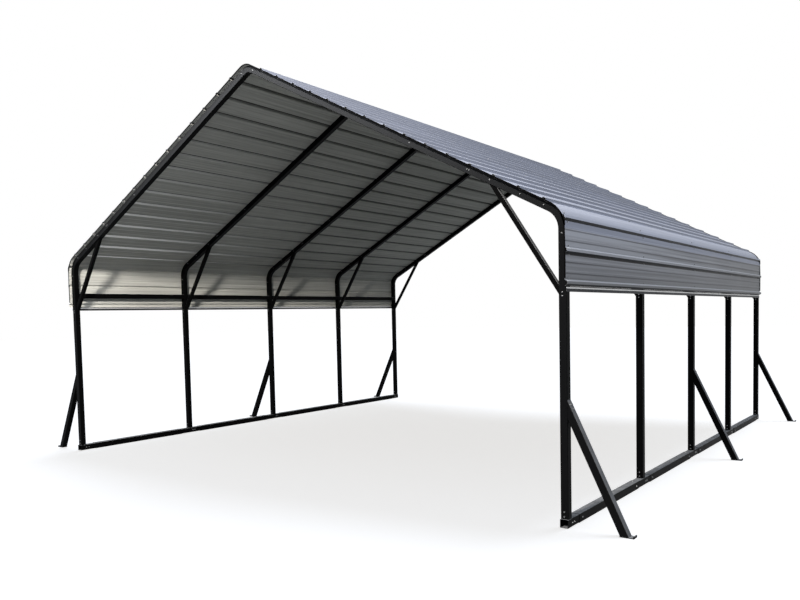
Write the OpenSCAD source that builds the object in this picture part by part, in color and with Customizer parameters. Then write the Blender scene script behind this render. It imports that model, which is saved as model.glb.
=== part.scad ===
// Carport: five steel portal frames on two base rails, under a ribbed sheet roof
// with rounded eaves, a rounded ridge and a short ribbed skirt down each long side.
// X runs across the carport, Y along its ridge with the front at -Y, Z is up.
// The ground is z = 0, and the middle of the footprint is the origin.

/* [Frames] */
// Width over the outer faces of the posts
frame_w = 6096; // [4200:10:7600]
// Distance between neighbouring frames
bay = 1524; // [1000:4:2000]
// Height where the outer lines of a post and a rafter would meet
eave_h = 2170; // [1950:1:3000]
// Slope of the roof, in degrees
roof_pitch = 27.75; // [18:0.05:36]
// Square tube of the posts, rafters, side rails and ground braces
tube = 57; // [45:1:75]
// Wall of every square tube
tube_wall = 2; // [1.5:0.1:4]
// Outer corner radius of every square tube
tube_corner = 4; // [2.5:0.1:8]
// Radius of the eave bends, at the middle of the tube
eave_bend_r = 172; // [110:1:260]
// Radius of the ridge bends, at the middle of the tube
ridge_bend_r = 105; // [70:1:150]

/* [Base] */
// Square tube of the base rails
rail = 65; // [62:0.5:90]
// Square tube of the post feet, which the rails butt against
foot = 60; // [58:0.5:80]
// Length of a post foot, from the middle of the post, along the rail
foot_reach = 150; // [110:1:250]
// How far the end feet stick out past the end posts
foot_nose = 10; // [4:1:40]

/* [Bracing] */
// Square tube of the knee braces
knee = 38; // [25:1:45]
// Drop of the middle of a knee brace at the post, below the eave height
knee_drop = 534; // [400:1:900]
// Distance of the middle of a knee brace at the rafter from the post
knee_reach = 502; // [320:1:700]
// Height of the middle of a ground brace at the post
stay_h = 822; // [500:1:1100]
// Distance of the middle of a ground brace at the ground from the post
stay_reach = 392; // [250:1:600]
// How far a foot plate reaches out past its ground brace
plate_nose = 34; // [12:1:80]
// Width of a foot plate, along the carport
plate_w = 61; // [58:1:110]
// Thickness of a foot plate and of its turned-up lip
plate_t = 6; // [4:0.5:12]
// Height of the turned-up lip over the ground
lip_h = 16; // [10:1:30]
// Drop of the underside of the side rails below the eave height
side_rail_drop = 405; // [350:1:450]

/* [Sheets] */
// Thickness of the roof and skirt sheets
sheet_t = 1.2; // [0.8:0.1:2]
// Clearance between the sheets and the frames under them
seat = 0.2; // [0.1:0.05:0.4]
// How far the sheets reach past the end posts at each end
overhang = 30; // [10:1:120]
// Distance between ribs on the slopes
rib_pitch = 218; // [200:0.5:240]
// Distance between ribs on the skirts
skirt_pitch = 219; // [200:1:240]
// Height of a rib
rib_h = 19; // [10:0.5:30]
// Width of a rib at its foot
rib_foot = 44; // [30:1:60]
// Width of a rib at its crest
rib_crest = 18; // [8:1:26]
// Height of a stiffening bead between the ribs
bead_h = 3; // [1:0.1:5]
// Width of a bead at its foot
bead_foot = 26; // [18:1:34]
// Width of a bead at its crest
bead_crest = 10; // [4:1:14]
// Drop of the bottom edge of the skirts below the side rails
skirt_drop = 103; // [60:1:160]

/* [Skirt trim] */
// Height of the trim strip under a skirt
trim_h = 22; // [12:1:30]
// Thickness of the trim strip
trim_t = 3; // [2:0.5:6]
// Open gap between a skirt and its trim strip
trim_gap = 17; // [4:1:24]

/* [Hidden] */
FRAMES = 5;
STAY_STEP = 2;
SKIRT_RIBS = 3;
SLOPE_SHEETS = 3;
RIDGE_RIBS = 2;
ARC_STEP = 6;
$fn = 48;

post_x = frame_w / 2 - tube / 2;
post_in = frame_w / 2 - tube;
frame_l = (FRAMES - 1) * bay;
turn = 90 - roof_pitch;
knee_h = eave_h - knee_drop;
side_rail_h = eave_h - side_rail_drop;
skirt_h = side_rail_h - skirt_drop;

// Middle lines of the tubes: where post and rafter cross, and where the bends begin and end
knee_line_z = eave_h + tube / 2 * (tan(roof_pitch) - 1 / cos(roof_pitch));
eave_cut = eave_bend_r * tan(turn / 2);
post_top = knee_line_z - eave_cut;
rafter_foot = [post_x - eave_cut * cos(roof_pitch), knee_line_z + eave_cut * sin(roof_pitch)];
ridge_line_z = knee_line_z + post_x * tan(roof_pitch);
ridge_cut = ridge_bend_r * tan(roof_pitch);
rafter_l = post_x / cos(roof_pitch) - eave_cut - ridge_cut;
ridge_axis_z = ridge_line_z - ridge_bend_r / cos(roof_pitch);
foot_z = (rail - foot) / 2;
post_foot = foot_z + foot;

// Path of the sheets' underside, followed from the ridge over the slope, the eave and the skirt;
// distances along it are negative on the left side
ridge_r = ridge_bend_r + tube / 2 + seat;
eave_r = eave_bend_r + tube / 2 + seat;
eave_axis = [post_x - eave_bend_r, post_top];
s_ridge = ridge_r * roof_pitch * PI / 180;
s_slope = s_ridge + rafter_l;
s_eave = s_slope + eave_r * turn * PI / 180;
s_end = s_eave + post_top - skirt_h;
slope_start = [ridge_r * sin(roof_pitch), ridge_axis_z + ridge_r * cos(roof_pitch)];

// As many ribs as a slope has room for, shared out between its sheets; the last one is the eave sheet's
SLOPE_RIBS = floor((s_slope - rib_foot / 2) / rib_pitch);
function first_rib(n) = RIDGE_RIBS + round((n - 1) * (SLOPE_RIBS - 1 - RIDGE_RIBS) / SLOPE_SHEETS);

function slope_rib(k) = (k + 1) * rib_pitch;
function skirt_rib(k) = s_end - rib_foot / 2 - (SKIRT_RIBS - 1 - k) * skirt_pitch;
function rib(k) = k < SLOPE_RIBS ? slope_rib(k) : skirt_rib(k - SLOPE_RIBS);
function after_rib(k) = rib(k) + rib_foot / 2;

// Angle of the path from level at a distance s from the ridge, and the point there, raised by h
function lean(s) =
    s < s_ridge ? s / ridge_r * 180 / PI :
    s < s_slope ? roof_pitch :
    s < s_eave ? roof_pitch + (s - s_slope) / eave_r * 180 / PI : 90;
function path(s) =
    s < s_ridge ? [0, ridge_axis_z] + ridge_r * [sin(lean(s)), cos(lean(s))] :
    s < s_slope ? slope_start + (s - s_ridge) * [cos(roof_pitch), -sin(roof_pitch)] :
    s < s_eave ? eave_axis + eave_r * [sin(lean(s)), cos(lean(s))] :
    eave_axis + [eave_r, s_eave - s];
function raised(p) =
    let (s = abs(p[0]), q = path(s) + p[1] * [sin(lean(s)), cos(lean(s))])
    [p[0] < 0 ? -q[0] : q[0], q[1]];
function curved(s) = s < s_ridge || (s > s_slope && s < s_eave);

// Outline points [distance, height] of one rib or bead, of the round stretches, and of a sheet
function bump(s, foot_w, crest_w, h) =
    [[s - foot_w / 2, 0], [s - crest_w / 2, h], [s + crest_w / 2, h], [s + foot_w / 2, 0]];
function round_steps(a, b) =
    let (n = max(1, ceil((b - a) / ARC_STEP)))
    [for (i = [1 : 1 : n - 1]) let (s = a + (b - a) * i / n) if (curved(s)) [s, 0]];
function pan(a, b) =
    b - a < rib_pitch / 2 || (a < s_slope && b > s_slope) ? round_steps(a, b) :
    let (step = (b - a + rib_foot) / 3, m = a - rib_foot / 2 + step, half = bead_foot / 2)
    concat(
        round_steps(a, m - half), bump(m, bead_foot, bead_crest, bead_h),
        round_steps(m + half, m + step - half), bump(m + step, bead_foot, bead_crest, bead_h));
function ribs_and_pans(from, first, last) =
    [for (k = [first : last])
        each concat(
            pan(k == first ? from : after_rib(k - 1), rib(k) - rib_foot / 2),
            bump(rib(k), rib_foot, rib_crest, rib_h))];
function reversed(v) = [for (i = [len(v) - 1 : -1 : 0]) v[i]];
function mirrored(v) = [for (p = reversed(v)) [-p[0], p[1]]];

module tube_section(size) {
    difference() {
        rounded_square(size, tube_corner);
        rounded_square(size - 2 * tube_wall, tube_corner - tube_wall);
    }
}

module rounded_square(size, r) {
    square([size, size - 2 * r], center = true);
    square([size - 2 * r, size], center = true);
    for (x = [-1, 1], y = [-1, 1])
        translate([x, y] * (size / 2 - r)) circle(r);
}

// Tube of a given size and length standing on its start
module standing_tube(size, l) {
    linear_extrude(l) tube_section(size);
}

// Tube of a given size and length that runs along +Y from its start
module lying_tube(size, l) {
    rotate([-90, 0, 0]) standing_tube(size, l);
}

// Tube bent about an axis along Y, from angle a through an angle of sweep
module bent_tube(r, a, sweep) {
    rotate([90, 0, 0]) rotate([0, 0, a])
        rotate_extrude(angle = sweep, $fn = 180) translate([r, 0]) tube_section(tube);
}

// Puts its children at one frame, at frames some steps apart, or in every bay; frames count from the front
module at_frame(i) {
    translate([0, (i - 1) * bay - frame_l / 2, 0]) children();
}

module at_frames(step) {
    for (i = [1 : step : FRAMES]) at_frame(i) children();
}

module in_bays() {
    for (i = [1 : FRAMES - 1]) at_frame(i) children();
}

module on_left() {
    mirror([1, 0, 0]) children();
}

module post() {
    translate([post_x, 0, post_foot]) standing_tube(tube, post_top - post_foot);
}

module rafter() {
    translate([rafter_foot[0], 0, rafter_foot[1]])
        rotate([0, -turn, 0]) standing_tube(tube, rafter_l);
}

module eave_bend() {
    translate([post_x - eave_bend_r, 0, post_top]) bent_tube(eave_bend_r, 0, turn);
}

module ridge_bend() {
    translate([0, 0, ridge_axis_z]) bent_tube(ridge_bend_r, turn, 2 * roof_pitch);
}

// Knee brace, cut to the post's inner face and to the rafter's underside
module knee_brace() {
    under_z = eave_h + tube * (tan(roof_pitch) - 1 / cos(roof_pitch));
    rise = under_z + knee_reach * tan(roof_pitch) - knee_h;
    l = norm([knee_reach, rise]);
    far = [-2 * knee_reach, 2 * knee_reach * tan(roof_pitch)];
    translate([post_in, 0, 0]) intersection() {
        translate([0, 0, knee_h])
            rotate([0, -atan2(knee_reach, rise), 0])
                translate([0, 0, -l / 2]) standing_tube(knee, 2 * l);
        rotate([90, 0, 0]) linear_extrude(2 * knee, center = true)
            polygon([[0, 0], [0, under_z], [0, under_z] + far, [far[0], 0]]);
    }
}

// Ground brace, cut to the post's outer face and to the top of its foot plate
module ground_brace() {
    l = norm([stay_reach, stay_h]);
    translate([frame_w / 2, 0, 0]) intersection() {
        translate([stay_reach, 0, 0])
            rotate([0, -atan2(stay_reach, stay_h), 0])
                translate([0, 0, -l / 2]) standing_tube(tube, 2 * l);
        translate([0, -tube, plate_t]) cube([2 * stay_reach, 2 * tube, 2 * stay_h]);
    }
}

// Foot plate, flush with the inner side of its ground brace, with a lip turned up at its outer end
module foot_plate() {
    half = tube / 2 * norm([stay_reach, stay_h]) / stay_h;
    from = stay_reach * (1 - plate_t / stay_h) - half;
    l = 2 * half + plate_nose;
    translate([frame_w / 2 + from, -plate_w / 2, 0]) {
        cube([l, plate_w, plate_t]);
        translate([l - plate_t, 0, 0]) cube([plate_t, plate_w, lip_h]);
    }
}

// Foot under the post of frame i; at the two ends it sticks out past the end post by foot_nose alone
module post_foot_tube(i) {
    back = i == 1 ? tube / 2 + foot_nose : foot_reach;
    ahead = i == FRAMES ? tube / 2 + foot_nose : foot_reach;
    translate([post_x, -back, rail / 2]) lying_tube(foot, back + ahead);
}

module post_foot_tubes() {
    for (i = [1 : FRAMES]) at_frame(i) post_foot_tube(i);
}

module rail_section() {
    translate([post_x, foot_reach, rail / 2]) lying_tube(rail, bay - 2 * foot_reach);
}

module side_rail_section() {
    translate([post_x, tube / 2, side_rail_h + tube / 2]) lying_tube(tube, bay - tube);
}

module skirt_trim() {
    l = frame_l + tube;
    translate([frame_w / 2, -l / 2, skirt_h - trim_gap - trim_h]) cube([trim_t, l, trim_h]);
}

// Sheet whose underside follows the outline points
module sheet(points) {
    l = frame_l + tube + 2 * overhang;
    top = [for (p = points) raised([p[0], p[1] + sheet_t])];
    under = [for (p = points) raised(p)];
    translate([0, l / 2, 0]) rotate([90, 0, 0])
        linear_extrude(l) polygon(concat(top, reversed(under)));
}

// Sheet of one slope or skirt, from the edge of the sheet above it to its own last rib
module side_sheet(first, last) {
    from = after_rib(first - 1);
    sheet(concat([[from, 0]], ribs_and_pans(from, first, last)));
}

module slope_sheet(n) {
    side_sheet(first_rib(n), first_rib(n + 1) - 1);
}

module eave_sheet() {
    side_sheet(SLOPE_RIBS - 1, SLOPE_RIBS);
}

module skirt_sheet() {
    side_sheet(SLOPE_RIBS + 1, SLOPE_RIBS + SKIRT_RIBS - 1);
}

module left_post(i) { color("dimgray") on_left() at_frame(i) post(); }
module right_post(i) { color("dimgray") at_frame(i) post(); }
module left_rafter(i) { color("gray") on_left() at_frame(i) rafter(); }
module right_rafter(i) { color("gray") at_frame(i) rafter(); }
module left_eave_bends() { color("slategray") on_left() at_frames(1) eave_bend(); }
module right_eave_bends() { color("slategray") at_frames(1) eave_bend(); }
module ridge_bends() { color("slategray") at_frames(1) ridge_bend(); }
module left_post_feet() { color("darkslategray") on_left() post_foot_tubes(); }
module right_post_feet() { color("darkslategray") post_foot_tubes(); }
module left_base_rail() { color("black") on_left() in_bays() rail_section(); }
module right_base_rail() { color("black") in_bays() rail_section(); }
module left_side_rail() { color("black") on_left() in_bays() side_rail_section(); }
module right_side_rail() { color("black") in_bays() side_rail_section(); }
module left_knee_braces() { color("dimgray") on_left() at_frames(1) knee_brace(); }
module right_knee_braces() { color("dimgray") at_frames(1) knee_brace(); }
module left_ground_braces() { color("gray") on_left() at_frames(STAY_STEP) ground_brace(); }
module right_ground_braces() { color("gray") at_frames(STAY_STEP) ground_brace(); }
module left_foot_plates() { color("black") on_left() at_frames(STAY_STEP) foot_plate(); }
module right_foot_plates() { color("black") at_frames(STAY_STEP) foot_plate(); }
module left_skirt_trim() { color("black") on_left() skirt_trim(); }
module right_skirt_trim() { color("black") skirt_trim(); }

module ridge_sheet() {
    half = concat(round_steps(0, s_ridge), ribs_and_pans(s_ridge, 0, RIDGE_RIBS - 1));
    color("lightsteelblue") sheet(concat(mirrored(half), [[0, 0]], half));
}

module left_roof_sheet(n) { color("lightsteelblue") on_left() slope_sheet(n); }
module right_roof_sheet(n) { color("lightsteelblue") slope_sheet(n); }
module left_eave_sheet() { color("lightblue") on_left() eave_sheet(); }
module right_eave_sheet() { color("lightblue") eave_sheet(); }
module left_skirt_sheet() { color("lightsteelblue") on_left() skirt_sheet(); }
module right_skirt_sheet() { color("lightsteelblue") skirt_sheet(); }

for (i = [1 : FRAMES]) {
    left_post(i);
    right_post(i);
    left_rafter(i);
    right_rafter(i);
}
for (n = [1 : SLOPE_SHEETS]) {
    left_roof_sheet(n);
    right_roof_sheet(n);
}
left_eave_bends();
right_eave_bends();
ridge_bends();
left_post_feet();
right_post_feet();
left_base_rail();
right_base_rail();
left_side_rail();
right_side_rail();
left_knee_braces();
right_knee_braces();
left_ground_braces();
right_ground_braces();
left_foot_plates();
right_foot_plates();
left_skirt_trim();
right_skirt_trim();
ridge_sheet();
left_eave_sheet();
right_eave_sheet();
left_skirt_sheet();
right_skirt_sheet();
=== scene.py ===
import math
from collections import namedtuple

import bmesh
import bpy
from bpy.props import FloatProperty, FloatVectorProperty, PointerProperty
from bpy.types import Operator, Panel, PropertyGroup
from mathutils import Euler, Matrix, Vector
from mathutils.bvhtree import BVHTree


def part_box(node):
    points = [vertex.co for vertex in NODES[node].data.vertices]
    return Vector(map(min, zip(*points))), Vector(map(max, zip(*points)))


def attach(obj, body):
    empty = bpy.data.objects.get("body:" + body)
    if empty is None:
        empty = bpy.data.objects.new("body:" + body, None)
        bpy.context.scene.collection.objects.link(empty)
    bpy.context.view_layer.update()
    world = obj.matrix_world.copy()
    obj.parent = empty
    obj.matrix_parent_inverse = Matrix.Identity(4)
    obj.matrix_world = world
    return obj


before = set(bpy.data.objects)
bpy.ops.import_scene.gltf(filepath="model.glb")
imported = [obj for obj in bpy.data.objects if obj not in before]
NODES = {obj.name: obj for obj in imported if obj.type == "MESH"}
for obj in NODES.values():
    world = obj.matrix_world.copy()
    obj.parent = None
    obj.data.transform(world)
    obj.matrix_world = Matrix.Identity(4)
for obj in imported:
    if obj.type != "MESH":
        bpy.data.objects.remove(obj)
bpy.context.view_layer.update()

bl_info = {
    "name": "Carport dressing",
    "version": (1, 0, 0),
    "blender": (4, 5, 0),
    "location": "3D View > Sidebar > Carport",
    "description": "Paint, sheet finish, fasteners and stage for the ribbed sheet carport",
    "category": "Object",
}

FRAMES = 5
SIDES = ("right", "left")
UP = Vector((0, 0, 1))
FRAME_WORDS = ("post", "rafter", "bends", "feet", "rail", "braces", "plates")

# Lines of the frame, read from the CAD boxes on the right side
FRAME_LINES = [sum(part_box(f"right_post_{i}"), Vector()).y / 2 for i in range(1, FRAMES + 1)]
POST_LO, POST_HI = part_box("right_post_1")
TUBE = POST_HI.x - POST_LO.x
POST_X = (POST_LO.x + POST_HI.x) / 2
RAFTER_LO, RAFTER_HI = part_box("right_rafter_1")

# Lines of the sheets; the first and the third roof sheet lie two sheets apart
UPPER_LO, UPPER_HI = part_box("right_roof_sheet_1")
LOWER_LO, LOWER_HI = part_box("right_roof_sheet_3")
SKIRT_LO, SKIRT_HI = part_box("right_skirt_sheet")
SHEET_RIBS, SLOPE_RIBS, SKIRT_RIBS = 4, 15, 3
RIB_FOOT = 0.044
SLOPE_SPAN = Vector((LOWER_HI.x - UPPER_HI.x, 0, LOWER_LO.z - UPPER_LO.z))
RIB_PITCH = SLOPE_SPAN.length / (2 * SHEET_RIBS)
SKIRT_PITCH = (SKIRT_HI.z - SKIRT_LO.z) / (SKIRT_RIBS - 1)
DOWN_SLOPE = SLOPE_SPAN.normalized()
OFF_SLOPE = Vector((-DOWN_SLOPE.z, 0, DOWN_SLOPE.x))

# Middle lines of the rafters, and the middles of the two bends
RAFTER_FOOT = Vector((RAFTER_HI.x - TUBE / 2 * OFF_SLOPE.x, 0, RAFTER_LO.z + TUBE / 2 * OFF_SLOPE.z))
RAFTER_HEAD = Vector((RAFTER_LO.x + TUBE / 2 * OFF_SLOPE.x, 0, RAFTER_HI.z - TUBE / 2 * OFF_SLOPE.z))
EAVE_R = (RAFTER_FOOT.z - POST_HI.z) / OFF_SLOPE.z
EAVE_MIDDLE = Vector((POST_X - EAVE_R, 0, POST_HI.z))
RIDGE_R = RAFTER_HEAD.x / OFF_SLOPE.x
RIDGE_MIDDLE = RAFTER_HEAD - OFF_SLOPE * RIDGE_R

# Heights of a head and of the washer under it
SCREW_HEIGHTS = (0.005, 0.0016)
BOLT_HEIGHTS = (0.006, 0.0022)

# Places of the bolts on a frame
RAFTER_BOLTS = (0.042, 0.243, 0.515, 0.706, 0.726)  # up the rafter from the eave bend
MID_RAFTER_BOLT = 0.4  # part of the rafter's length
RIDGE_BOLT = 0.03  # down the rafter from the ridge bend
EAVE_BOLT = 0.03  # down the post from the eave bend
KNEE_BOLTS = (0.02, -0.004)  # up the post from the lowest point of the knee brace
FOOT_BOLTS = (0.018, 0.052)  # up the post from its lower end

# Places of the screws on the base
FOOT_SCREWS = (0.03, 0.062)  # along a foot from the middle of its post
RAIL_SCREW = 0.05  # along a rail section from its end
BRACE_SCREWS = ((0.035, -0.013), (0.035, 0.013), (0.068, 0.0))  # down a ground brace from its top, and aside

# Rays that find the sheets: where they start, over the ribs or from the middle of a bend, and their reach
RIB_RAY_START, RIB_RAY_REACH = 0.1, 0.3
ARC_RAY_START, ARC_RAY_REACH = 0.4, 0.5

# Black strips on the cut ends of the sheets
EDGE_THICK = 0.003
EDGE_INSET = 0.002  # of the strips below the sheets' faces, and of their rays behind the cut ends
EDGE_RIB_OFFSET = 0.03  # distance of a station from the middle of its rib
RIDGE_ARC, EAVE_ARC = (90, 65), (60, 5)  # degrees from level, at the first and the last station of an arc
ARC_STATIONS = 6

# Black strip of painted shade, and the lip, in the gap over the skirt trim
SHADE_STRIP_SHARE = 0.4  # part of the gap's height that the black strip of painted shade fills
FOLD_SHARE = 0.4  # part of the trim's thickness at which the lip is folded
GAP, SEAM_GAP, SKIRT_GAP = 0.0002, 0.0004, 0.0008  # at the trim, between the two, and under the skirt

# Floor and sky
FLOOR_HALF = 60.0
FLOOR_DROP = 0.0005  # below the feet
SKY_LEVELS = (0.2, 0.42)  # at the horizon and high up


class CarportFrameFinish(PropertyGroup):
    """Paint on the steel frame."""

    paint: FloatVectorProperty(
        name="Frame paint", description="Colour of the satin black frame paint",
        subtype="COLOR", size=3, min=0, max=1, default=(0.0013, 0.0013, 0.0014))
    # Dust, and painted top light that pales the faces which look up
    dust_and_light: FloatVectorProperty(
        name="Dust", description="Colour of the thin dust on faces that look up",
        subtype="COLOR", size=3, min=0, max=1, default=(0.185, 0.19, 0.2))
    # Painted reflection: a paler colour on the gable faces near the ridge that stands in for gloss
    gable_sheen: FloatVectorProperty(
        name="Sheen", description="Colour of the highlit paint on the gable faces near the ridge",
        subtype="COLOR", size=3, min=0, max=1, default=(0.034, 0.036, 0.04))
    gloss_spread: FloatProperty(
        name="Paint roughness", description="Roughness of the frame paint",
        subtype="FACTOR", min=0, max=1, default=0.42)


class CarportSheetFinish(PropertyGroup):
    """Finish of the roof and skirt sheets."""

    outside: FloatVectorProperty(
        name="Outside", description="Colour of the outer face of the sheets",
        subtype="COLOR", size=3, min=0, max=1, default=(0.28, 0.301, 0.372))
    inside: FloatVectorProperty(
        name="Inside", description="Colour of the backer coat on the inner face",
        subtype="COLOR", size=3, min=0, max=1, default=(0.53, 0.53, 0.495))
    trim: FloatVectorProperty(
        name="Trim", description="Colour of the strip under the skirts",
        subtype="COLOR", size=3, min=0, max=1, default=(0.05, 0.051, 0.054))
    lip: FloatVectorProperty(
        name="Trim lip", description="Colour of the bright lip above the strip under the skirts",
        subtype="COLOR", size=3, min=0, max=1, default=(0.62, 0.625, 0.63))
    skirt: FloatVectorProperty(
        name="Skirt", description="Colour to which the outer face of the skirts has faded",
        subtype="COLOR", size=3, min=0, max=1, default=(0.53, 0.54, 0.575))
    dust_and_light: FloatVectorProperty(
        name="Sheet dust", description="Colour of the thin dust on the slopes",
        subtype="COLOR", size=3, min=0, max=1, default=(0.36, 0.36, 0.35))
    # Painted shade on the skirts, darker towards their lower edge and the back
    splash: FloatVectorProperty(
        name="Shading", description="Colour of the darker shading on the skirts",
        subtype="COLOR", size=3, min=0, max=1, default=(0.16, 0.162, 0.166))
    band: FloatVectorProperty(
        name="Water bands", description="Colour of the long water marks on the skirts",
        subtype="COLOR", size=3, min=0, max=1, default=(0.12, 0.122, 0.13))
    # Painted highlight on the upper flanks of the skirts' ribs
    flank_highlight: FloatVectorProperty(
        name="Upper flanks", description="Colour of the highlighted upper flanks of the skirts' ribs",
        subtype="COLOR", size=3, min=0, max=1, default=(0.6, 0.615, 0.65))
    # Painted shade: near black under and along the ribs
    shade: FloatVectorProperty(
        name="Shade", description="Colour of the grime under and along the ribs",
        subtype="COLOR", size=3, min=0, max=1, default=(0.012, 0.0125, 0.014))
    # Painted shade inside the hollows of the roof ribs
    hollow_shade: FloatVectorProperty(
        name="Rib hollows", description="Colour inside the hollows of the roof ribs",
        subtype="COLOR", size=3, min=0, max=1, default=(0.04, 0.04, 0.038))
    # Painted highlight on the lower flanks inside the roof ribs, near the front of the eaves
    bright: FloatVectorProperty(
        name="Bright flanks", description="Colour of the bare lower flanks inside the roof ribs",
        subtype="COLOR", size=3, min=0, max=1, default=(0.92, 0.92, 0.9))
    edge_height: FloatProperty(
        name="Edge strip", description="Height of the black strip along the cut ends of the sheets",
        unit="LENGTH", min=0.004, max=0.02, default=0.008)
    roughness: FloatProperty(
        name="Outside roughness", description="Roughness of the outer face",
        subtype="FACTOR", min=0, max=1, default=0.36)


class CarportFasteners(PropertyGroup):
    """Sizes of the screws and bolts."""

    zinc: FloatVectorProperty(
        name="Zinc", description="Colour of the zinc on screws and bolts",
        subtype="COLOR", size=3, min=0, max=1, default=(0.27, 0.275, 0.28))
    screw_head: FloatProperty(
        name="Screw head", description="Width of a sheet screw's hexagon head over its flats",
        unit="LENGTH", min=0.004, max=0.014, default=0.008)
    screw_washer: FloatProperty(
        name="Screw washer", description="Width of the washer under a sheet screw",
        unit="LENGTH", min=0.008, max=0.018, default=0.012)
    bolt_head: FloatProperty(
        name="Bolt head", description="Width of a frame bolt's hexagon head over its flats",
        unit="LENGTH", min=0.006, max=0.02, default=0.008)
    bolt_washer: FloatProperty(
        name="Bolt washer", description="Width of the washer under a frame bolt",
        unit="LENGTH", min=0.009, max=0.03, default=0.011)
    rib_offset: FloatProperty(
        name="Screw from rib", description="Distance of a sheet screw from the middle of its rib",
        unit="LENGTH", min=0.028, max=0.05, default=0.031)


class CarportStage(PropertyGroup):
    """Floor, light and camera."""

    floor: FloatVectorProperty(
        name="Floor", description="Colour of the pale floor",
        subtype="COLOR", size=3, min=0, max=1, default=(0.64, 0.64, 0.64))
    floor_bounce: FloatVectorProperty(
        name="Floor bounce", description="Colour of the floor where it lights the carport from below",
        subtype="COLOR", size=3, min=0, max=1, default=(0.31, 0.3, 0.275))
    floor_glow: FloatVectorProperty(
        name="Floor glow", description="White that the floor shows to the camera even in shadow",
        subtype="COLOR", size=3, min=0, max=1, default=(0.712, 0.7, 0.685))
    sky: FloatVectorProperty(
        name="Sky light", description="Colour of the soft light from above",
        subtype="COLOR", size=3, min=0, max=1, default=(0.8, 0.88, 1.0))
    top_strength: FloatProperty(
        name="Top light", description="Strength of the broad light from overhead",
        min=0, max=10, default=1.4)
    key_power: FloatProperty(
        name="Key light", description="Power of the warm lamp in front",
        unit="POWER", min=0, max=10000, default=1050)
    side_power: FloatProperty(
        name="Side light", description="Power of the broad lamp on the right",
        unit="POWER", min=0, max=10000, default=1300)
    low_power: FloatProperty(
        name="Low light", description="Power of the soft lamp near the floor in front",
        unit="POWER", min=0, max=1000, default=17)
    fill_power: FloatProperty(
        name="Fill light", description="Power of the broad lamp at the front left",
        unit="POWER", min=0, max=10000, default=250)
    lens: FloatProperty(
        name="Lens", description="Focal length of the camera on a 36 mm frame",
        unit="CAMERA", min=10, max=200, default=33.846)
    eye: FloatVectorProperty(
        name="Camera place", description="Where the camera stands",
        subtype="TRANSLATION", size=3, default=(5.1671, -7.8344, 1.4836))
    turn: FloatVectorProperty(
        name="Camera turn", description="Pitch, roll and yaw of the camera away from level",
        subtype="EULER", size=3,
        default=(math.radians(-3.154), math.radians(-1.22), math.radians(36.442)))
    shift: FloatVectorProperty(
        name="Camera shift", description="Sideways and upward shift of the picture, as part of its width",
        size=2, min=-0.5, max=0.5, default=(-0.0018, 0.07166))


def fill(node, sockets):
    """Sets a node's inputs; a socket of another node is linked, anything else is a value."""
    for key, value in sockets.items():
        socket = node.inputs[key]
        if isinstance(value, bpy.types.NodeSocket):
            node.id_data.links.new(value, socket)
        else:
            socket.default_value = value
    return node


def put(tree, kind, sockets=None, **settings):
    """Adds a node with its settings and its inputs."""
    node = tree.nodes.new(kind)
    for name, value in settings.items():
        setattr(node, name, value)
    return fill(node, sockets or {})


def reckon(tree, operation, *values):
    """A Math node's result."""
    node = put(tree, "ShaderNodeMath", dict(enumerate(values)), operation=operation)
    return node.outputs[0]


def times(tree, a, b):
    """A product."""
    return reckon(tree, "MULTIPLY", a, b)


def larger(tree, a, b):
    """The larger of two values."""
    return reckon(tree, "MAXIMUM", a, b)


def axes(tree, vector):
    """The three parts of a vector."""
    return put(tree, "ShaderNodeSeparateXYZ", {0: vector}).outputs


def noise(tree, vector, scale, detail, roughness=0.5):
    """A noise texture's value."""
    sockets = {"Vector": vector, "Scale": scale, "Detail": detail, "Roughness": roughness}
    return put(tree, "ShaderNodeTexNoise", sockets).outputs[0]


def drawn_noise(tree, place, across, along, detail):
    """Noise drawn out along the sheets."""
    spread = put(tree, "ShaderNodeVectorMath", {0: place, 1: (across, along, across)}, operation="MULTIPLY")
    return noise(tree, spread.outputs[0], 1.0, detail)


def mixed(tree, factor, a, b):
    """A colour mix's result."""
    node = put(tree, "ShaderNodeMix", {0: factor, 6: a, 7: b}, data_type="RGBA")
    return node.outputs[2]


def ranged(tree, value, low, high, to_low, to_high):
    """A value brought from one range to another, kept inside it."""
    node = put(tree, "ShaderNodeMapRange",
               {"Value": value, "From Min": low, "From Max": high, "To Min": to_low, "To Max": to_high})
    return node.outputs[0]


def rgba(colour, level=1.0):
    """A colour at a level of brightness, with its alpha."""
    return (*(level * c for c in colour), 1.0)


FLOAT, VECTOR = "NodeSocketFloat", "NodeSocketVector"


def shader_group(name, inputs, outputs):
    """A new shader node group with named sockets, and its input and output nodes."""
    tree = bpy.data.node_groups.new(name, "ShaderNodeTree")
    for key, kind, default in inputs:
        socket = tree.interface.new_socket(key, in_out="INPUT", socket_type=kind)
        if default is not None:
            socket.default_value = default
    for key in outputs:
        tree.interface.new_socket(key, in_out="OUTPUT", socket_type=FLOAT)
    return tree, tree.nodes.new("NodeGroupInput").outputs, tree.nodes.new("NodeGroupOutput")


def coat_group(name):
    """Uneven coat of paint or zinc: broad tone, fine grain and a height for its surface."""
    tree, given, out = shader_group(
        name, [("Coordinates", VECTOR, None), ("Broad Scale", FLOAT, 1.5), ("Grain Scale", FLOAT, 300.0)],
        ["Tone", "Grain", "Height"])
    broad = noise(tree, given["Coordinates"], given["Broad Scale"], 5.0, 0.6)
    grain = noise(tree, given["Coordinates"], given["Grain Scale"], 2.0)
    fill(out, {"Tone": ranged(tree, broad, 0.3, 0.7, 0.0, 1.0), "Grain": grain,
               "Height": times(tree, grain, broad)})
    return tree


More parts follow.
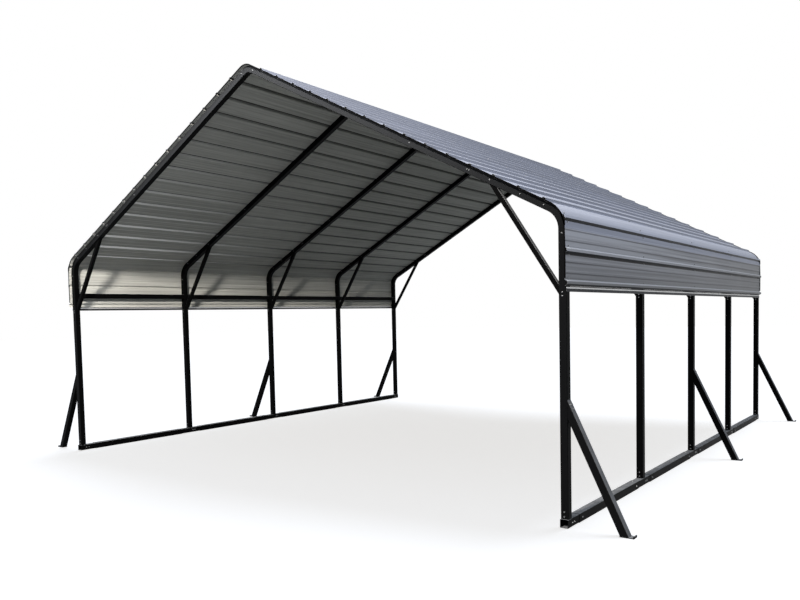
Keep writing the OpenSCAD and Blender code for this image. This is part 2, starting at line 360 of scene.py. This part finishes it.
def dust_and_top_light_group(name):
    """Dust, and painted top light, on faces which look up."""
    tree, given, out = shader_group(
        name, [("Coordinates", VECTOR, None), ("Normal", VECTOR, None), ("Patch Scale", FLOAT, 6.0)],
        ["Mask"])
    upward = ranged(tree, axes(tree, given["Normal"])[2], 0.05, 0.6, 0.0, 1.0)
    patches = noise(tree, given["Coordinates"], given["Patch Scale"], 6.0, 0.7)
    fill(out, {"Mask": times(tree, upward, ranged(tree, patches, 0.3, 0.7, 0.45, 1.0))})
    return tree


def sheet_side_group(name):
    """Tells the outer face of the bent sheets from the inner one."""
    tree, given, out = shader_group(
        name, [("Coordinates", VECTOR, None), ("Normal", VECTOR, None), ("Eave Height", FLOAT, 2.05),
               ("Eave Rise", FLOAT, 0.176), ("Slope Lean", FLOAT, 1.82)], ["Outside"])
    place, facing = axes(tree, given["Coordinates"]), axes(tree, given["Normal"])
    above = reckon(tree, "SUBTRACT", place[2], given["Eave Height"])
    part = put(tree, "ShaderNodeMath", {0: above, 1: given["Eave Rise"]}, operation="DIVIDE", use_clamp=True)
    lean = times(tree, part.outputs[0], given["Slope Lean"])
    across = times(tree, facing[0], reckon(tree, "SIGN", place[0]))
    total = reckon(tree, "ADD", across, times(tree, facing[2], lean))
    fill(out, {"Outside": reckon(tree, "GREATER_THAN", total, -0.001)})
    return tree


GROUPS = {"coat_unevenness": coat_group, "dust_and_top_light": dust_and_top_light_group, "sheet_side": sheet_side_group}


def group_node(tree, group, sockets):
    """Outputs of a shader node group placed in a material; the group is made when it is first needed."""
    made = bpy.data.node_groups.get(group) or GROUPS[group](group)
    return fill(put(tree, "ShaderNodeGroup", node_tree=made), sockets).outputs


def new_material(name):
    """A material with its coordinates, true normal and Principled shader."""
    material = bpy.data.materials.new(name)
    material.use_nodes = True
    tree = material.node_tree
    shader = tree.nodes["Principled BSDF"]
    place = put(tree, "ShaderNodeTexCoord").outputs["Object"]
    facing = put(tree, "ShaderNodeNewGeometry").outputs["True Normal"]
    return material, tree, shader, place, facing


def bumped(tree, height, strength, distance):
    """A Bump node's normal."""
    sockets = {"Height": height, "Strength": strength, "Distance": distance}
    return put(tree, "ShaderNodeBump", sockets).outputs[0]


def dress(words, material):
    """Gives one material to every node with one of these words in its name."""
    found = [NODES[name] for name in sorted(NODES) if any(word in name for word in words)]
    if not found:
        raise RuntimeError(f"the frame has no node for {words}")
    for obj in found:
        obj.data.materials.clear()
        obj.data.materials.append(material)


def gable_sheen_mask(tree, place, facing):
    """Painted reflection on the gable faces of the end frames, most near the ridge, paler as gloss would make
    them.
    """
    spot = axes(tree, place)
    square = ranged(tree, reckon(tree, "ABSOLUTE", axes(tree, facing)[1]), 0.9, 0.95, 0.0, 1.0)
    gable = FRAME_LINES[-1] + TUBE / 2
    at_end = reckon(tree, "COMPARE", reckon(tree, "ABSOLUTE", spot[1]), gable, 0.004)
    return times(tree, times(tree, square, at_end), ranged(tree, spot[2], POST_HI.z, RAFTER_HI.z, 0.08, 1.0))


class CARPORT_OT_paint_frame(Operator):
    """Paints posts, rafters, bends, rails, braces, feet and foot plates satin black"""

    bl_idname = "carport.paint_frame"
    bl_label = "Paint the frame"

    def execute(self, context):
        finish = context.scene.carport_frame
        material, tree, shader, place, facing = new_material("satin_black_paint")
        coat = group_node(tree, "coat_unevenness",
                          {"Coordinates": place, "Broad Scale": 2.2, "Grain Scale": 420.0})
        # Dust, with painted top light, pales the faces which look up
        dust_and_light = group_node(tree, "dust_and_top_light",
                          {"Coordinates": place, "Normal": facing, "Patch Scale": 7.0})["Mask"]
        tone = mixed(tree, coat["Tone"], rgba(finish.paint), rgba(finish.paint, 1.9))
        # Painted reflection: the gable faces near the ridge are made paler
        tone = mixed(tree, gable_sheen_mask(tree, place, facing), tone, rgba(finish.gable_sheen))
        fill(shader, {
            "Base Color": mixed(tree, dust_and_light, tone, rgba(finish.dust_and_light)),
            "Roughness": reckon(tree, "ADD", ranged(tree, coat["Tone"], 0, 1, -0.05, 0.06),
                                reckon(tree, "MULTIPLY_ADD", dust_and_light, 0.1, finish.gloss_spread)),
            "Normal": bumped(tree, coat["Height"], 0.12, 0.0008),
            "Specular IOR Level": 0.012})
        dress(FRAME_WORDS, material)
        return {"FINISHED"}


SheetPlace = namedtuple("SheetPlace", "out_x y z across tilt on_skirt on_slope")


def sheet_place(tree, place, facing):
    """Where a point of the sheets lies, how its face is turned, and whether it is on a skirt or a slope."""
    x, y, z = axes(tree, place)
    turned = axes(tree, facing)
    return SheetPlace(
        out_x=reckon(tree, "ABSOLUTE", x), y=y, z=z,
        across=times(tree, turned[0], reckon(tree, "SIGN", x)), tilt=turned[2],
        on_skirt=reckon(tree, "LESS_THAN", z, POST_HI.z),
        on_slope=reckon(tree, "GREATER_THAN", z, RAFTER_FOOT.z + TUBE / 2 + 0.02))


def rib_shade_mask(tree, at):
    """Painted shade on lower flanks, in lines under the skirts' ribs and beads, and thinly along the roof
    ribs.
    """
    down = reckon(tree, "SUBTRACT", SKIRT_HI.z + RIB_FOOT / 2, at.z)
    part = reckon(tree, "FRACT", reckon(tree, "DIVIDE", down, SKIRT_PITCH))
    under_rib = reckon(tree, "COMPARE", times(tree, part, SKIRT_PITCH), RIB_FOOT / 2 + 0.005, 0.006)
    third = reckon(tree, "FRACT", times(tree, part, 3.0))
    under_bead = reckon(tree, "COMPARE", times(tree, third, SKIRT_PITCH / 3), 0.012, 0.0035)
    lines = times(tree, at.on_skirt, larger(tree, under_rib, times(tree, under_bead, 0.4)))
    roof = times(tree, at.on_slope, ranged(tree, at.tilt, 0.5, 0.2, 0.0, 0.25))
    return larger(tree, ranged(tree, at.tilt, -0.25, -0.5, 0.0, 1.0), larger(tree, lines, roof))


def outer_coat(tree, finish, place, at, tone, dust_and_light):
    """Colour of the sheets' outer face."""
    colour = mixed(tree, tone, rgba(finish.outside, 0.86), rgba(finish.outside, 1.16))
    colour = mixed(tree, times(tree, dust_and_light, 0.12), colour, rgba(finish.dust_and_light))
    colour = mixed(tree, times(tree, at.on_skirt, 0.6), colour, rgba(finish.skirt))
    # Painted shade darkens the skirts towards their lower edge and the back
    lower = ranged(tree, at.z, SKIRT_LO.z, POST_HI.z, 0.95, 0.0)
    backward = ranged(tree, at.y, FRAME_LINES[0], FRAME_LINES[-1], 0.0, 0.85)
    for mask in (lower, times(tree, at.on_skirt, backward)):
        colour = mixed(tree, mask, colour, rgba(finish.splash))
    # Water leaves long dark bands on the skirts, and a painted highlight pales the upper flanks of their ribs
    bands = ranged(tree, drawn_noise(tree, place, 36.0, 0.3, 3.0), 0.45, 0.65, 0.0, 0.6)
    colour = mixed(tree, times(tree, at.on_skirt, bands), colour, rgba(finish.band))
    upper = ranged(tree, at.tilt, 0.4, 0.8, 0.0, 0.5)
    colour = mixed(tree, times(tree, at.on_skirt, upper), colour, rgba(finish.flank_highlight))
    # Painted shade under and along the ribs
    return mixed(tree, rib_shade_mask(tree, at), colour, rgba(finish.shade))


def inner_coat(tree, finish, at, tone):
    """Colour of the sheets' inner face, and the mask of the flanks inside the ribs that get a painted
    highlight.
    """
    colour = mixed(tree, tone, rgba(finish.inside, 0.72), rgba(finish.inside, 1.22))
    # Painted shade: the hollow of a roof rib is darkened, most at its crest
    rise = reckon(tree, "MULTIPLY_ADD", at.z, OFF_SLOPE.z, times(tree, at.out_x, OFF_SLOPE.x))
    depth = reckon(tree, "SUBTRACT", rise, RAFTER_FOOT.dot(OFF_SLOPE) + TUBE / 2)
    hollow_shade = larger(tree, ranged(tree, depth, 0.004, 0.01, 0.0, 0.6),
                    ranged(tree, depth, 0.018, 0.019, 0.0, 0.92))
    colour = mixed(tree, hollow_shade, colour, rgba(finish.hollow_shade))
    # Painted highlight: its lower flank is made bright, most near the front of the eaves
    near_eave = ranged(tree, at.z, RAFTER_FOOT.z, RAFTER_HEAD.z, 1.4, 0.0)
    near_front = ranged(tree, at.y, FRAME_LINES[0], FRAME_LINES[2], 1.0, 0.0)
    flank_highlight = times(tree, at.on_slope, ranged(tree, at.across, -0.7, -0.95, 0.0, 1.0))
    bright = times(tree, flank_highlight, times(tree, near_eave, near_front))
    return mixed(tree, bright, colour, rgba(finish.bright)), bright


class CARPORT_OT_finish_sheets(Operator):
    """Gives the sheets a blue-grey outer face and a pale backer coat inside"""

    bl_idname = "carport.finish_sheets"
    bl_label = "Finish the sheets"

    def execute(self, context):
        finish = context.scene.carport_sheets
        material, tree, shader, place, facing = new_material("blue_grey_sheet")
        outside = group_node(tree, "sheet_side", {
            "Coordinates": place, "Normal": facing, "Eave Height": POST_HI.z,
            "Eave Rise": RAFTER_FOOT.z - POST_HI.z, "Slope Lean": OFF_SLOPE.z / OFF_SLOPE.x})["Outside"]
        coat = group_node(tree, "coat_unevenness",
                          {"Coordinates": place, "Broad Scale": 0.9, "Grain Scale": 260.0})
        dust_and_light = group_node(tree, "dust_and_top_light",
                          {"Coordinates": place, "Normal": facing, "Patch Scale": 3.0})["Mask"]
        at = sheet_place(tree, place, facing)
        # Rolling leaves fine streaks along the sheets
        streaks = ranged(tree, drawn_noise(tree, place, 55.0, 0.7, 2.0), 0.3, 0.7, 0.0, 0.65)
        tone = reckon(tree, "MULTIPLY_ADD", coat["Tone"], 0.35, streaks)
        outer = outer_coat(tree, finish, place, at, tone, dust_and_light)
        inner, bright = inner_coat(tree, finish, at, tone)
        # The flanks with the painted highlight also get more metal in the shader
        sheened = times(tree, bright, reckon(tree, "SUBTRACT", 1.0, outside))
        rough = ranged(tree, coat["Tone"], 0, 1, finish.roughness - 0.04, finish.roughness + 0.06)
        fill(shader, {
            "Base Color": mixed(tree, outside, inner, outer),
            "Metallic": reckon(tree, "MULTIPLY_ADD", sheened, 0.45, times(tree, outside, 0.1)),
            "Roughness": reckon(tree, "ADD", rough, ranged(tree, outside, 0, 1, 0.22, 0.0)),
            "Normal": bumped(tree, coat["Height"], 0.06, 0.0006),
            "Specular IOR Level": 0.02})
        dress(("sheet",), material)
        return {"FINISHED"}


def metal_coat(name, colour, metallic, scale):
    """A plain metal coat, made once."""
    if name in bpy.data.materials:
        return bpy.data.materials[name]
    material, tree, shader, place, _ = new_material(name)
    coat = group_node(tree, "coat_unevenness",
                      {"Coordinates": place, "Broad Scale": scale, "Grain Scale": 900.0})
    fill(shader, {
        "Base Color": mixed(tree, coat["Tone"], rgba(colour), rgba(colour, 0.72)),
        "Roughness": ranged(tree, coat["Grain"], 0.3, 0.7, 0.26, 0.44),
        "Normal": bumped(tree, coat["Height"], 0.05, 0.0003),
        "Metallic": metallic, "Specular IOR Level": 0.02})
    return material


def zinc_material(context):
    """Bright zinc for every screw and bolt."""
    return metal_coat("bright_zinc", context.scene.carport_fasteners.zinc, 0.85, 30.0)


def black_paint():
    """The frame's paint, which other pieces share."""
    if "satin_black_paint" not in bpy.data.materials:
        raise RuntimeError("the frame is painted before the sheets are edged")
    return bpy.data.materials["satin_black_paint"]


def add_fastener(bm, seat, head, washer, heights):
    """Adds a washer and a hexagon head that stand on a seat, a point with its normal."""
    point, normal = seat
    stand = Matrix.Translation(point) @ UP.rotation_difference(normal).to_matrix().to_4x4()
    head_h, washer_h = heights
    corner = head / math.sqrt(3)
    for segments, radius, taper, height, middle in (
            (12, washer / 2, 0.86, washer_h, washer_h / 2),
            (6, corner, 0.94, head_h, washer_h + head_h / 2)):
        bmesh.ops.create_cone(bm, cap_ends=True, segments=segments, radius1=radius, radius2=radius * taper,
                              depth=height, matrix=stand @ Matrix.Translation((0, 0, middle)))


def on_side(side, seat):
    """A right side point and direction, brought to the left side where that is asked."""
    point, way = seat
    if side == "right":
        return point, way
    return Vector((-point.x, point.y, point.z)), Vector((-way.x, way.y, way.z))


def finish_piece(name, bm, material):
    """Makes a piece of the carport from a bmesh."""
    bmesh.ops.recalc_face_normals(bm, faces=bm.faces)
    mesh = bpy.data.meshes.new(name)
    bm.to_mesh(mesh)
    bm.free()
    mesh.materials.append(material)
    piece = bpy.data.objects.new(name, mesh)
    bpy.context.scene.collection.objects.link(piece)
    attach(piece, "root")


def sheet_tree(side):
    """Ray cast tree of the sheets on one side, with the ridge sheet."""
    corners, faces = [], []
    for name in sorted(NODES):
        if "sheet" in name and name.startswith((side, "ridge")):
            mesh = NODES[name].data
            first = len(corners)
            corners.extend(v.co.copy() for v in mesh.vertices)
            faces.extend([first + i for i in p.vertices] for p in mesh.polygons)
    return BVHTree.FromPolygons(corners, faces)


def slope_rows(offset):
    """Starts and directions of the rays beside the ribs of the right slope, at y = 0, from the ridge down."""
    # The lowest roof sheet ends with the last rib but one
    edge, last = Vector((LOWER_HI.x, 0, LOWER_LO.z)), SLOPE_RIBS - 2
    middles = [edge + DOWN_SLOPE * ((k - last) * RIB_PITCH - RIB_FOOT / 2) for k in range(SLOPE_RIBS)]
    return [(middle + DOWN_SLOPE * step + OFF_SLOPE * RIB_RAY_START, -OFF_SLOPE)
            for middle in middles for step in (-offset, offset)]


def skirt_rows(offset):
    """Starts and directions of the rays beside the ribs of the right skirt, at y = 0, from the eave down."""
    middles = [SKIRT_HI.z + RIB_FOOT / 2 - k * SKIRT_PITCH for k in range(SKIRT_RIBS)]
    heights = [middle + step for middle in middles for step in (offset, -offset)]
    far = SKIRT_HI.x + RIB_RAY_START
    return [(Vector((far, 0, z)), Vector((-1, 0, 0))) for z in heights if z > SKIRT_LO.z]


def cast(tree, side, y, row, reach):
    """Where a row's ray meets the sheets at y, the normal there against the ray, and the ray itself."""
    start, ray = on_side(side, (Vector((row[0].x, y, row[0].z)), row[1]))
    hit, normal, _, _ = tree.ray_cast(start, ray, reach)
    if hit is None:
        raise RuntimeError(f"no {side} sheet under the ray from {tuple(start)}")
    return hit, (-normal if normal.dot(ray) > 0 else normal), ray


class CARPORT_OT_drive_sheet_screws(Operator):
    """Drives a pair of screws beside each rib at every frame"""

    bl_idname = "carport.drive_sheet_screws"
    bl_label = "Drive the sheet screws"

    def execute(self, context):
        sizes = context.scene.carport_fasteners
        for side in SIDES:
            tree = sheet_tree(side)
            bm = bmesh.new()
            for row in slope_rows(sizes.rib_offset) + skirt_rows(sizes.rib_offset):
                for y in FRAME_LINES:
                    hit, normal, _ = cast(tree, side, y, row, RIB_RAY_REACH)
                    add_fastener(bm, (hit, normal), sizes.screw_head, sizes.screw_washer, SCREW_HEIGHTS)
            finish_piece(f"{side}_sheet_screws", bm, zinc_material(context))
        return {"FINISHED"}


def arc_rows(middle, arc):
    """Starts and directions of the rays towards the middle of a bend, at y = 0."""
    rows = []
    for n in range(ARC_STATIONS):
        turn = math.radians(arc[0] + (arc[1] - arc[0]) * n / (ARC_STATIONS - 1))
        out = Vector((math.cos(turn), 0, math.sin(turn)))
        rows.append((middle + out * ARC_RAY_START, -out))
    return rows


def edge_seats(side, y):
    """Points and outward directions along a sheet edge at y, from the ridge down one side."""
    tree = sheet_tree(side)
    rows = arc_rows(RIDGE_MIDDLE, RIDGE_ARC) + slope_rows(EDGE_RIB_OFFSET)
    rows += arc_rows(EAVE_MIDDLE, EAVE_ARC) + skirt_rows(EDGE_RIB_OFFSET)
    seats = []
    for row in rows:
        hit, _, ray = cast(tree, side, y, row, ARC_RAY_REACH)
        seats.append((hit, -ray))
    return seats


def add_strip(bm, stations):
    """Adds a closed strip through stations of four corners each."""
    rings = [[bm.verts.new(corner) for corner in station] for station in stations]
    for a, b in zip(rings, rings[1:]):
        for i in range(4):
            bm.faces.new((a[i], a[(i + 1) % 4], b[(i + 1) % 4], b[i]))
    bm.faces.new(rings[0])
    bm.faces.new(rings[-1])


def add_straight_strip(bm, ends, corners):
    """Adds a strip between two y, with the same four x and z corners at both."""
    add_strip(bm, [[(x, y, z) for x, z in corners] for y in ends])


class CARPORT_OT_edge_sheets(Operator):
    """Closes the cut ends of the sheets with a slim black strip and folds a bright lip over the skirt trim"""

    bl_idname = "carport.edge_sheets"
    bl_label = "Edge the sheets"

    def edge_ends(self, side, height):
        """Lays the strips on both cut ends of one side."""
        lo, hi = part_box(f"{side}_skirt_sheet")
        bm = bmesh.new()
        for y, out in ((lo.y, -1), (hi.y, 1)):
            near, far = y + out * GAP, y + out * EDGE_THICK
            stations = []
            for hit, way in edge_seats(side, y - out * EDGE_INSET):
                low, top = hit - way * EDGE_INSET, hit + way * height
                stations.append([(low.x, near, low.z), (low.x, far, low.z),
                                 (top.x, far, top.z), (top.x, near, top.z)])
            add_strip(bm, stations)
        finish_piece(f"{side}_edge_strips", bm, black_paint())

    def fill_gap(self, side, bright):
        """Fills the gap between one skirt and its trim with a black strip of painted shade and the lip."""
        trim_lo, trim_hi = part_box(f"{side}_skirt_trim")
        ends = (trim_lo.y, trim_hi.y)
        inner, outer = (trim_lo.x, trim_hi.x) if side == "right" else (trim_hi.x, trim_lo.x)
        low, top = trim_hi.z + GAP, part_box(f"{side}_skirt_sheet")[0].z - SKIRT_GAP
        seam = top - SHADE_STRIP_SHARE * (top - low)
        fold = inner + FOLD_SHARE * (outer - inner)
        under = seam - SEAM_GAP
        bm = bmesh.new()
        # A black strip of painted shade under the skirt
        add_straight_strip(bm, ends, ((inner, seam), (fold, seam), (fold, top), (inner, top)))
        finish_piece(f"{side}_shade_strip", bm, black_paint())
        bm = bmesh.new()
        add_straight_strip(bm, ends, ((outer, low), (fold, low), (inner, under), (fold, under)))
        finish_piece(f"{side}_trim_lip", bm, bright)

    def execute(self, context):
        finish = context.scene.carport_sheets
        for side in SIDES:
            self.edge_ends(side, finish.edge_height)
            self.fill_gap(side, metal_coat("bright_lip", finish.lip, 0.6, 1.2))
        dress(("trim",), metal_coat("grey_trim", finish.trim, 0.0, 1.2))
        return {"FINISHED"}


def frame_bolt_places():
    """Places of the bolts on a frame's face, right side, in the frame's plane."""
    rafter = RAFTER_HEAD - RAFTER_FOOT
    along, length = rafter.normalized(), rafter.length
    knee_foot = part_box("right_knee_braces")[0].z
    heights = [POST_HI.z - EAVE_BOLT]
    heights += [knee_foot + step for step in KNEE_BOLTS]
    heights += [POST_LO.z + step for step in FOOT_BOLTS]
    steps = [*RAFTER_BOLTS, MID_RAFTER_BOLT * length, length - RIDGE_BOLT]
    return [Vector((POST_X, 0, z)) for z in heights] + [RAFTER_FOOT + along * d for d in steps]


class CARPORT_OT_bolt_frames(Operator):
    """Bolts the posts, bends, rafters and braces on the front and back faces of every frame"""

    bl_idname = "carport.bolt_frames"
    bl_label = "Bolt the frames"

    def execute(self, context):
        sizes = context.scene.carport_fasteners
        for side in SIDES:
            bm = bmesh.new()
            for y in FRAME_LINES:
                for point in frame_bolt_places():
                    for face in (-1, 1):
                        seat = (Vector((point.x, y + face * TUBE / 2, point.z)), Vector((0, face, 0)))
                        seat = on_side(side, seat)
                        add_fastener(bm, seat, sizes.bolt_head, sizes.bolt_washer, BOLT_HEIGHTS)
            finish_piece(f"{side}_frame_bolts", bm, zinc_material(context))
        return {"FINISHED"}


def foot_screw_seats():
    """Seats of the screws on both sides of the feet, right side."""
    lo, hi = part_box("right_post_feet")
    seats = []
    for i, y in enumerate(FRAME_LINES):
        inward = -1 if i == FRAMES - 1 else 1
        for x, way in ((hi.x, 1), (lo.x, -1)):
            for step in FOOT_SCREWS:
                seats.append((Vector((x, y + inward * step, (lo.z + hi.z) / 2)), Vector((way, 0, 0))))
    return seats


def rail_screw_seats():
    """Seats of the screws near the ends of the base rail's sections, on top and outside, right side."""
    lo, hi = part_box("right_base_rail")
    reach = lo.y - FRAME_LINES[0]
    seats = []
    for front, back in zip(FRAME_LINES, FRAME_LINES[1:]):
        for y in (front + reach + RAIL_SCREW, back - reach - RAIL_SCREW):
            seats.append((Vector((POST_X, y, hi.z)), UP))
            seats.append((Vector((hi.x, y, (lo.z + hi.z) / 2)), Vector((1, 0, 0))))
    return seats


def brace_screw_seats():
    """Seats of the screws near the top of the ground braces' upper faces, right side."""
    lo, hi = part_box("right_ground_braces")
    # The upper face runs from the brace's highest point, on the post, to its outermost point, on the plate
    down = Vector((hi.x - lo.x, 0, lo.z - hi.z)).normalized()
    outward = Vector((-down.z, 0, down.x))
    top = Vector((lo.x, 0, hi.z))
    return [(top + down * step + Vector((0, y + aside, 0)), outward)
            for y in FRAME_LINES[::2] for step, aside in BRACE_SCREWS]


class CARPORT_OT_screw_base(Operator):
    """Screws the feet, the base rails and the ground braces"""

    bl_idname = "carport.screw_base"
    bl_label = "Screw the base"

    def execute(self, context):
        sizes = context.scene.carport_fasteners
        for side in SIDES:
            bm = bmesh.new()
            for seat in foot_screw_seats() + rail_screw_seats() + brace_screw_seats():
                add_fastener(bm, on_side(side, seat), sizes.screw_head, sizes.screw_washer, SCREW_HEIGHTS)
            finish_piece(f"{side}_base_screws", bm, zinc_material(context))
        return {"FINISHED"}


def seen_directly(tree):
    """1 for rays from the camera, from gloss or through glass, else 0."""
    rays = put(tree, "ShaderNodeLightPath").outputs
    seen = larger(tree, rays["Is Camera Ray"], rays["Is Glossy Ray"])
    return larger(tree, seen, rays["Is Transmission Ray"])


class CARPORT_OT_set_stage(Operator):
    """Lays the floor and sets the light and the camera"""

    bl_idname = "carport.set_stage"
    bl_label = "Set the stage"

    def lay_floor(self, scene, stage):
        """Lays a floor that is white to the camera but for the shadow on it."""
        bm = bmesh.new()
        bmesh.ops.create_grid(bm, x_segments=1, y_segments=1, size=FLOOR_HALF,
                              matrix=Matrix.Translation((0, 0, -FLOOR_DROP)))
        mesh = bpy.data.meshes.new("floor")
        bm.to_mesh(mesh)
        bm.free()
        floor = bpy.data.objects.new("floor", mesh)
        scene.collection.objects.link(floor)
        material = bpy.data.materials.new("pale_floor")
        material.use_nodes = True
        tree = material.node_tree
        seen = seen_directly(tree)
        fill(tree.nodes["Principled BSDF"], {
            "Base Color": mixed(tree, seen, rgba(stage.floor_bounce), rgba(stage.floor)),
            "Emission Color": mixed(tree, seen, rgba((0, 0, 0)), rgba(stage.floor_glow)),
            "Emission Strength": 1.0, "Roughness": 1.0, "Specular IOR Level": 0.0})
        mesh.materials.append(material)
        return floor

    def set_sky(self, scene, stage):
        """Lights the scene with a soft sky that is white to the camera."""
        world = bpy.data.worlds.new("soft_sky")
        scene.world = world
        world.use_nodes = True
        tree = world.node_tree
        height = axes(tree, put(tree, "ShaderNodeTexCoord").outputs["Generated"])[2]
        light = mixed(tree, ranged(tree, height, 0.0, 0.9, *SKY_LEVELS), rgba((0, 0, 0)), rgba(stage.sky))
        colour = mixed(tree, seen_directly(tree), light, rgba((1, 1, 1)))
        fill(tree.nodes["Background"], {"Color": colour, "Strength": 1.0})

    def hang_lamp(self, scene, lamp, place, target, lit=None):
        """Hangs a lamp so that it faces a target; a collection may hold what it lights."""
        hung = bpy.data.objects.new(lamp.name, lamp)
        hung.location = place
        hung.rotation_euler = (Vector(target) - Vector(place)).to_track_quat("-Z", "Y").to_euler()
        hung.visible_camera = False
        hung.light_linking.receiver_collection = lit
        scene.collection.objects.link(hung)

    def hang_lamps(self, scene, stage, floor):
        """Hangs the light from above and the four lamps around the carport."""
        top = bpy.data.lights.new("top_light", "SUN")
        top.energy, top.angle, top.color = stage.top_strength, math.radians(25), stage.sky
        self.hang_lamp(scene, top, (0.0, 2.4, 8.0), (0.0, 0.0, 0.0))
        # Only the light from above makes the shadow on the floor
        off_floor = bpy.data.collections.new("off_the_floor")
        off_floor.objects.link(floor)
        off_floor.collection_objects[0].light_linking.link_state = "EXCLUDE"
        warm, cool, white = (1.0, 0.95, 0.88), (0.92, 0.95, 1.0), (1.0, 1.0, 1.0)
        for name, power, size, colour, place, target in (
                ("front_key", stage.key_power, 0.8, warm, (2.5, -8.2, 5.33), (-3.0, -2.3, 2.0)),
                ("right_side", stage.side_power, 3.0, cool, (16.0, -6.0, 13.0), (3.0, 0.0, 2.2)),
                ("low_front", stage.low_power, 1.5, white, (0.5, -5.5, 0.6), (-1.5, -2.5, 2.9)),
                ("front_left_fill", stage.fill_power, 3.0, white, (-5.1, -8.6, 6.2), (0.0, -2.5, 2.6))):
            lamp = bpy.data.lights.new(name, "AREA")
            lamp.energy, lamp.size, lamp.color = power, size, colour
            self.hang_lamp(scene, lamp, place, target, off_floor)

    def set_camera(self, scene, stage):
        """Sets the camera where the photo was taken."""
        view = bpy.data.cameras.new("photo_view")
        view.sensor_width, view.lens = 36.0, stage.lens
        view.shift_x, view.shift_y = stage.shift
        view.clip_end = 200.0
        camera = bpy.data.objects.new("photo_view", view)
        pitch, roll, yaw = stage.turn
        turn = Euler((math.pi / 2 + pitch, 0, yaw)).to_matrix() @ Matrix.Rotation(roll, 3, "Z")
        camera.matrix_world = Matrix.Translation(stage.eye) @ turn.to_4x4()
        scene.collection.objects.link(camera)
        scene.camera = camera

    def execute(self, context):
        scene, stage = context.scene, context.scene.carport_stage
        scene.view_settings.view_transform = "Standard"
        floor = self.lay_floor(scene, stage)
        self.set_sky(scene, stage)
        self.hang_lamps(scene, stage, floor)
        self.set_camera(scene, stage)
        return {"FINISHED"}


class CARPORT_PT_dressing(Panel):
    """Lists the steps that dress the carport."""

    bl_label = "Carport"
    bl_idname = "CARPORT_PT_dressing"
    bl_space_type = "VIEW_3D"
    bl_region_type = "UI"
    bl_category = "Carport"

    def draw(self, context):
        for step in STEPS:
            self.layout.operator(step.bl_idname)
        for group in SETTINGS:
            settings = getattr(context.scene, group)
            for name in settings.bl_rna.properties.keys():
                if name not in ("rna_type", "name"):
                    self.layout.prop(settings, name)


SETTINGS = {
    "carport_frame": CarportFrameFinish,
    "carport_sheets": CarportSheetFinish,
    "carport_fasteners": CarportFasteners,
    "carport_stage": CarportStage,
}
STEPS = (
    CARPORT_OT_paint_frame,
    CARPORT_OT_finish_sheets,
    CARPORT_OT_edge_sheets,
    CARPORT_OT_drive_sheet_screws,
    CARPORT_OT_bolt_frames,
    CARPORT_OT_screw_base,
    CARPORT_OT_set_stage,
)
CLASSES = (*SETTINGS.values(), *STEPS, CARPORT_PT_dressing)


def register():
    for cls in CLASSES:
        bpy.utils.register_class(cls)
    for name, cls in SETTINGS.items():
        setattr(bpy.types.Scene, name, PointerProperty(type=cls))


def unregister():
    for name in SETTINGS:
        delattr(bpy.types.Scene, name)
    for cls in reversed(CLASSES):
        bpy.utils.unregister_class(cls)


def main():
    register()
    for step in STEPS:
        section, name = step.bl_idname.split(".")
        getattr(getattr(bpy.ops, section), name)()


if __name__ == "__main__":
    main()
